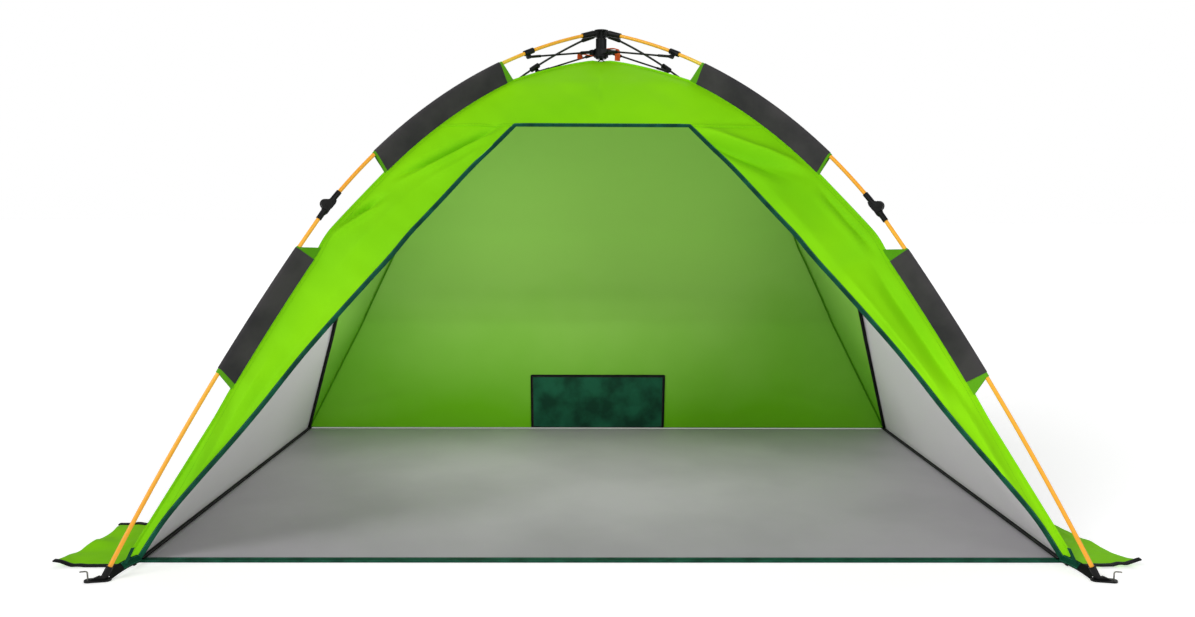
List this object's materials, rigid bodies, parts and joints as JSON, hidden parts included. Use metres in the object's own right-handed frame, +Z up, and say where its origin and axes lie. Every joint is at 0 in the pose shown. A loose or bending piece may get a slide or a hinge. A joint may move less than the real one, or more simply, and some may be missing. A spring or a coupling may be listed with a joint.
{
  "type": "folding beach tent",
  "caption": "Open-fronted beach tent: a hub with jointed bowed poles carries a green canopy over a grey floor, and folds like an umbrella.",
  "frame": {"origin": "on the ground, straight under the hub, in the middle of the footprint", "axes": "+Z up, +Y into the tent from its open front, +X to the right of someone who looks in"},
  "size_m": [2.4306, 1.534, 1.291],
  "materials": {
    "black_plastic": "satin moulded",
    "orange_fibreglass": "smooth",
    "black_fibreglass": "smooth",
    "steel_wire": "plain wire",
    "green_cloth": "fine plain weave",
    "grey_sleeve_cloth": "coarse weave",
    "grey_floor_sheet": "coated, slightly shiny",
    "grey_side_cloth": "matt weave",
    "dark_green_mesh": "open mesh",
    "red_webbing": "webbing"
  },
  "bodies": {
    "hub": {"crown": "black_plastic", "shaft": "black_plastic"},
    "runner": {"runner": "black_plastic", "pull_tab_left": "red_webbing", "pull_tab_right": "red_webbing"},
    "pole_front_left": {"pole_socket_front_left": "black_plastic", "upper_pole_front_left": "orange_fibreglass", "strut_bracket_front_left": "black_plastic", "knee_upper_front_left": "black_plastic", "upper_sleeve_front_left": "grey_sleeve_cloth"},
    "strut_front_left": {"strut_front_left": "black_plastic"},
    "lower_front_left": {"knee_lower_front_left": "black_plastic", "lower_pole_front_left": "orange_fibreglass", "lower_sleeve_front_left": "grey_sleeve_cloth", "foot_front_left": "black_plastic"},
    "peg_front_left": {"peg_front_left": "steel_wire"},
    "pole_front_right": {"pole_socket_front_right": "black_plastic", "upper_pole_front_right": "orange_fibreglass", "strut_bracket_front_right": "black_plastic", "knee_upper_front_right": "black_plastic", "upper_sleeve_front_right": "grey_sleeve_cloth"},
    "strut_front_right": {"strut_front_right": "black_plastic"},
    "lower_front_right": {"knee_lower_front_right": "black_plastic", "lower_pole_front_right": "orange_fibreglass", "lower_sleeve_front_right": "grey_sleeve_cloth", "foot_front_right": "black_plastic"},
    "peg_front_right": {"peg_front_right": "steel_wire"},
    "pole_rear_left": {"pole_socket_rear_left": "black_plastic", "upper_pole_rear_left": "black_fibreglass", "strut_bracket_rear_left": "black_plastic", "knee_upper_rear_left": "black_plastic", "upper_sleeve_rear_left": "grey_sleeve_cloth"},
    "strut_rear_left": {"strut_rear_left": "black_plastic"},
    "lower_rear_left": {"knee_lower_rear_left": "black_plastic", "lower_pole_rear_left": "black_fibreglass", "lower_sleeve_rear_left": "grey_sleeve_cloth", "foot_rear_left": "black_plastic"},
    "peg_rear_left": {"peg_rear_left": "steel_wire"},
    "pole_rear_right": {"pole_socket_rear_right": "black_plastic", "upper_pole_rear_right": "black_fibreglass", "strut_bracket_rear_right": "black_plastic", "knee_upper_rear_right": "black_plastic", "upper_sleeve_rear_right": "grey_sleeve_cloth"},
    "strut_rear_right": {"strut_rear_right": "black_plastic"},
    "lower_rear_right": {"knee_lower_rear_right": "black_plastic", "lower_pole_rear_right": "black_fibreglass", "lower_sleeve_rear_right": "grey_sleeve_cloth", "foot_rear_right": "black_plastic"},
    "peg_rear_right": {"peg_rear_right": "steel_wire"},
    "front_cloth": {"front_panel": "green_cloth"},
    "rear_cloth": {"rear_wall": "green_cloth", "mesh_pocket": "dark_green_mesh"},
    "left_cloth": {"left_wall": "green_cloth", "left_mesh_panel": "grey_side_cloth"},
    "right_cloth": {"right_wall": "green_cloth", "right_mesh_panel": "grey_side_cloth"},
    "floor_front": {"floor_front": "grey_floor_sheet"},
    "floor_rear": {"floor_rear": "grey_floor_sheet"},
    "flap_left": {"ground_flap_left": "green_cloth"},
    "flap_right": {"ground_flap_right": "green_cloth"}
  },
  "joints": [
    {"name": "runner_slide", "type": "slide", "parent": "hub", "child": "runner", "axis": [0, 0, -1], "range_m": [0, 0.3461]},
    {"name": "fold_front_left", "type": "hinge", "parent": "hub", "child": "pole_front_left", "pos_m": [-0.01513, -0.01065, 1.281], "axis": [0.5757, -0.8176, 0], "range_deg": [0, 43], "deforming": ["front_panel", "rear_wall", "mesh_pocket", "left_wall", "right_wall", "left_mesh_panel", "right_mesh_panel", "floor_front", "floor_rear", "ground_flap_left", "ground_flap_right"]},
    {"name": "strut_turn_front_left", "type": "hinge", "parent": "runner", "child": "strut_front_left", "pos_m": [-0.02665, -0.0047, 1.2305], "axis": [-0.5757, 0.8176, 0], "range_deg": [0, 72.73]},
    {"name": "knee_front_left", "type": "hinge", "parent": "pole_front_left", "child": "lower_front_left", "pos_m": [-0.65362, -0.46022, 0.80191], "axis": [-0.5757, 0.8176, 0], "range_deg": [0, 165]},
    {"name": "peg_lift_front_left", "type": "slide", "parent": "lower_front_left", "child": "peg_front_left", "axis": [0, 0, 1], "range_m": [0, 0.025]},
    {"name": "fold_front_right", "type": "hinge", "parent": "hub", "child": "pole_front_right", "pos_m": [0.01513, -0.01065, 1.281], "axis": [0.5757, 0.8176, 0], "range_deg": [0, 43]},
    {"name": "strut_turn_front_right", "type": "hinge", "parent": "runner", "child": "strut_front_right", "pos_m": [0.01341, -0.02351, 1.2305], "axis": [-0.5757, -0.8176, 0], "range_deg": [0, 72.73]},
    {"name": "knee_front_right", "type": "hinge", "parent": "pole_front_right", "child": "lower_front_right", "pos_m": [0.65362, -0.46022, 0.80191], "axis": [-0.5757, -0.8176, 0], "range_deg": [0, 165]},
    {"name": "peg_lift_front_right", "type": "slide", "parent": "lower_front_right", "child": "peg_front_right", "axis": [0, 0, 1], "range_m": [0, 0.025]},
    {"name": "fold_rear_left", "type": "hinge", "parent": "hub", "child": "pole_rear_left", "pos_m": [-0.01513, 0.01065, 1.281], "axis": [-0.5757, -0.8176, 0], "range_deg": [0, 43]},
    {"name": "strut_turn_rear_left", "type": "hinge", "parent": "runner", "child": "strut_rear_left", "pos_m": [-0.01341, 0.02351, 1.2305], "axis": [0.5757, 0.8176, 0], "range_deg": [0, 72.73]},
    {"name": "knee_rear_left", "type": "hinge", "parent": "pole_rear_left", "child": "lower_rear_left", "pos_m": [-0.65362, 0.46022, 0.80191], "axis": [0.5757, 0.8176, 0], "range_deg": [0, 165]},
    {"name": "peg_lift_rear_left", "type": "slide", "parent": "lower_rear_left", "child": "peg_rear_left", "axis": [0, 0, 1], "range_m": [0, 0.025]},
    {"name": "fold_rear_right", "type": "hinge", "parent": "hub", "child": "pole_rear_right", "pos_m": [0.01513, 0.01065, 1.281], "axis": [-0.5757, 0.8176, 0], "range_deg": [0, 43]},
    {"name": "strut_turn_rear_right", "type": "hinge", "parent": "runner", "child": "strut_rear_right", "pos_m": [0.02665, 0.0047, 1.2305], "axis": [0.5757, -0.8176, 0], "range_deg": [0, 72.73]},
    {"name": "knee_rear_right", "type": "hinge", "parent": "pole_rear_right", "child": "lower_rear_right", "pos_m": [0.65362, 0.46022, 0.80191], "axis": [0.5757, -0.8176, 0], "range_deg": [0, 165]},
    {"name": "peg_lift_rear_right", "type": "slide", "parent": "lower_rear_right", "child": "peg_rear_right", "axis": [0, 0, 1], "range_m": [0, 0.025]},
    {"name": "front_cloth_fold", "type": "hinge", "parent": "hub", "child": "front_cloth", "pos_m": [0, 0, 1.206], "axis": [1, 0, 0], "range_deg": [0, 27]},
    {"name": "rear_cloth_fold", "type": "hinge", "parent": "hub", "child": "rear_cloth", "pos_m": [0, 0, 1.206], "axis": [-1, 0, 0], "range_deg": [0, 27]},
    {"name": "left_cloth_fold", "type": "hinge", "parent": "hub", "child": "left_cloth", "pos_m": [0, 0, 1.206], "axis": [0, -1, 0], "range_deg": [0, 38]},
    {"name": "right_cloth_fold", "type": "hinge", "parent": "hub", "child": "right_cloth", "pos_m": [0, 0, 1.206], "axis": [0, 1, 0], "range_deg": [0, 38]},
    {"name": "floor_front_fold", "type": "hinge", "parent": "front_cloth", "child": "floor_front", "pos_m": [0, -0.65, 0], "axis": [1, 0, 0], "range_deg": [0, 62]},
    {"name": "floor_rear_fold", "type": "hinge", "parent": "rear_cloth", "child": "floor_rear", "pos_m": [0, 0.65, 0], "axis": [-1, 0, 0], "range_deg": [0, 62]},
    {"name": "flap_lift_left", "type": "hinge", "parent": "left_cloth", "child": "flap_left", "pos_m": [-1.0503, 0, 0.002], "axis": [0, 1, 0], "range_deg": [0, 90]},
    {"name": "flap_lift_right", "type": "hinge", "parent": "right_cloth", "child": "flap_right", "pos_m": [1.0503, 0, 0.002], "axis": [0, -1, 0], "range_deg": [0, 90]}
  ],
  "couplings": [
    {"joint": "strut_turn_front_left", "follows": "fold_front_left", "ratio": 1.6911},
    {"joint": "fold_front_right", "follows": "fold_front_left", "ratio": 1},
    {"joint": "strut_turn_front_right", "follows": "fold_front_left", "ratio": 1.6911},
    {"joint": "fold_rear_left", "follows": "fold_front_left", "ratio": 1},
    {"joint": "strut_turn_rear_left", "follows": "fold_front_left", "ratio": 1.6911},
    {"joint": "fold_rear_right", "follows": "fold_front_left", "ratio": 1},
    {"joint": "strut_turn_rear_right", "follows": "fold_front_left", "ratio": 1.6911},
    {"joint": "runner_slide", "follows": "fold_front_left", "m_per_rad": 0.46106},
    {"joint": "front_cloth_fold", "follows": "fold_front_left", "ratio": 0.62791},
    {"joint": "rear_cloth_fold", "follows": "fold_front_left", "ratio": 0.62791},
    {"joint": "left_cloth_fold", "follows": "fold_front_left", "ratio": 0.88372},
    {"joint": "right_cloth_fold", "follows": "fold_front_left", "ratio": 0.88372},
    {"joint": "floor_front_fold", "follows": "fold_front_left", "ratio": 1.4419},
    {"joint": "floor_rear_fold", "follows": "fold_front_left", "ratio": 1.4419}
  ]
}
